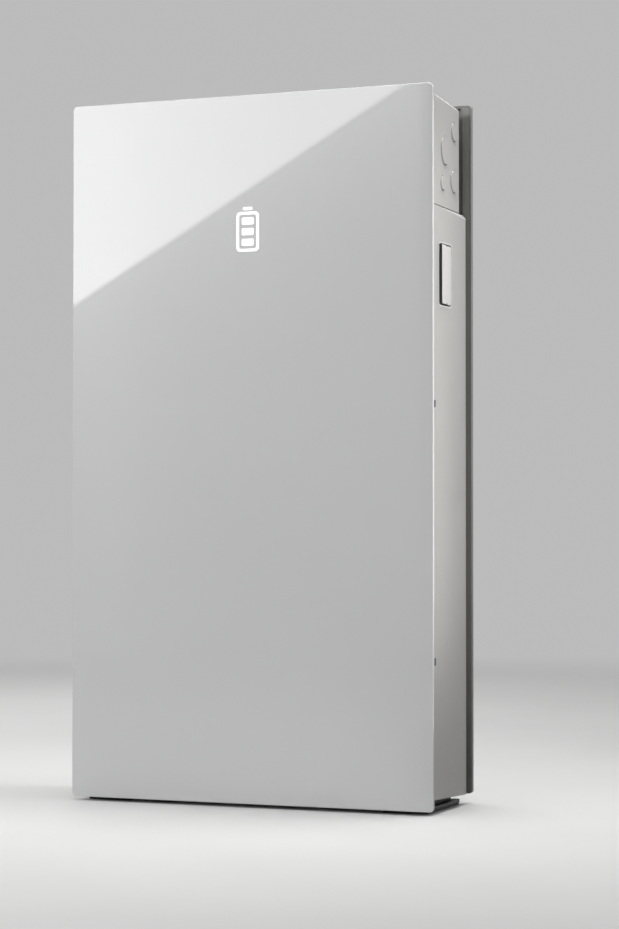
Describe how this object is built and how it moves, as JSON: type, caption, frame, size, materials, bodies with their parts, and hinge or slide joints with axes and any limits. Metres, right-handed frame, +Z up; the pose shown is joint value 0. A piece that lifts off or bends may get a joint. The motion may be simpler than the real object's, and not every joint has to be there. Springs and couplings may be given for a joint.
{
  "type": "wall battery unit",
  "caption": "Slab-shaped home battery with a glass front cover, sealed housings, a side rocker switch, blower cooling, a wall bracket and feet.",
  "frame": {"origin": "on the floor, in the middle of the width and depth", "axes": "+X to the right seen from the front, +Y towards the wall, +Z up"},
  "size_m": [0.609, 0.193, 1.105],
  "materials": {
    "cover_glass": "gloss",
    "emblem_enamel": "satin",
    "cover_frame": "matte",
    "housing_paint": "satin",
    "rear_panel_paint": "satin",
    "seal_rubber": "matte",
    "steel_hardware": "satin",
    "foot_paint": "matte",
    "black_plastic": "matte",
    "insulating_blanket": "matte",
    "switch_plastic": "satin",
    "cell_can": "satin",
    "bare_aluminium": "satin",
    "copper": "satin",
    "brass": "satin",
    "circuit_board": "satin",
    "nylon_posts": "matte",
    "fuse_ceramic": "matte",
    "cable_jacket": "satin",
    "power_module": "satin",
    "capacitor_sleeve": "gloss",
    "inductor_winding": "satin",
    "terminal_plastic": "matte"
  },
  "bodies": {
    "root": {"battery_housing": "housing_paint", "wiring_housing": "housing_paint", "battery_lid": "housing_paint", "wiring_lid": "housing_paint", "rear_panel": "rear_panel_paint", "cover_grommets": "seal_rubber", "wiring_lid_gasket": "seal_rubber", "battery_lid_gasket": "seal_rubber", "housing_gasket": "seal_rubber", "foot_pads": "seal_rubber", "lid_screws": "steel_hardware", "shoulder_screws": "steel_hardware", "rear_panel_screws": "steel_hardware", "rear_spacers": "steel_hardware", "wall_bracket": "steel_hardware", "stack_straps": "steel_hardware", "switch_pivot_pin": "steel_hardware", "terminal_rail": "steel_hardware", "blower_motors": "steel_hardware", "feet": "foot_paint", "vent_valve": "black_plastic", "channel_grilles": "black_plastic", "blower_housings": "black_plastic", "junction_tray": "black_plastic", "main_contactors": "black_plastic", "current_sensor": "black_plastic", "bulkhead_connector": "black_plastic", "aerial": "black_plastic", "switch_contact_block": "black_plastic", "grid_relays": "black_plastic", "cell_spacers": "insulating_blanket", "switch_bezel": "switch_plastic", "cells_left": "cell_can", "cells_right": "cell_can", "stack_end_plates": "bare_aluminium", "thermal_plate": "bare_aluminium", "heat_sink": "bare_aluminium", "busbars": "copper", "ground_bar": "brass", "cell_monitor_boards": "circuit_board", "battery_controller": "circuit_board", "inverter_board": "circuit_board", "control_board": "circuit_board", "board_posts": "nylon_posts", "main_fuse": "fuse_ceramic", "dc_cable_positive": "cable_jacket", "dc_cable_negative": "cable_jacket", "power_modules": "power_module", "link_capacitors": "capacitor_sleeve", "filter_inductors": "inductor_winding", "terminal_blocks": "terminal_plastic"},
    "cover": {"front_glass": "cover_glass", "front_emblem": "emblem_enamel", "cover_carrier": "cover_frame", "cover_studs": "cover_frame", "cover_catches": "cover_frame"},
    "rocker": {"switch_rocker": "switch_plastic"},
    "plunger": {"switch_plunger": "switch_plastic"},
    "blower_left": {"blower_left_impeller": "black_plastic"},
    "blower_right": {"blower_right_impeller": "black_plastic"}
  },
  "joints": [
    {"name": "cover_pull", "type": "slide", "parent": "root", "child": "cover", "axis": [0, -1, 0], "range_m": [0, 0.06]},
    {"name": "rocker_tilt", "type": "hinge", "parent": "root", "child": "rocker", "pos_m": [0.291, -0.0265, 0.8197], "axis": [0, 0, -1], "range_deg": [0, 10]},
    {"name": "plunger_travel", "type": "slide", "parent": "root", "child": "plunger", "axis": [1, 0, 0], "range_m": [0, 0.00333]},
    {"name": "blower_left_spin", "type": "hinge", "parent": "root", "child": "blower_left", "pos_m": [-0.13, 0.0435, 0.757], "axis": [0, 1, 0], "continuous": true},
    {"name": "blower_right_spin", "type": "hinge", "parent": "root", "child": "blower_right", "pos_m": [0.13, 0.0435, 0.757], "axis": [0, 1, 0], "continuous": true}
  ],
  "couplings": [
    {"joint": "plunger_travel", "follows": "rocker_tilt", "m_per_rad": 0.019}
  ]
}
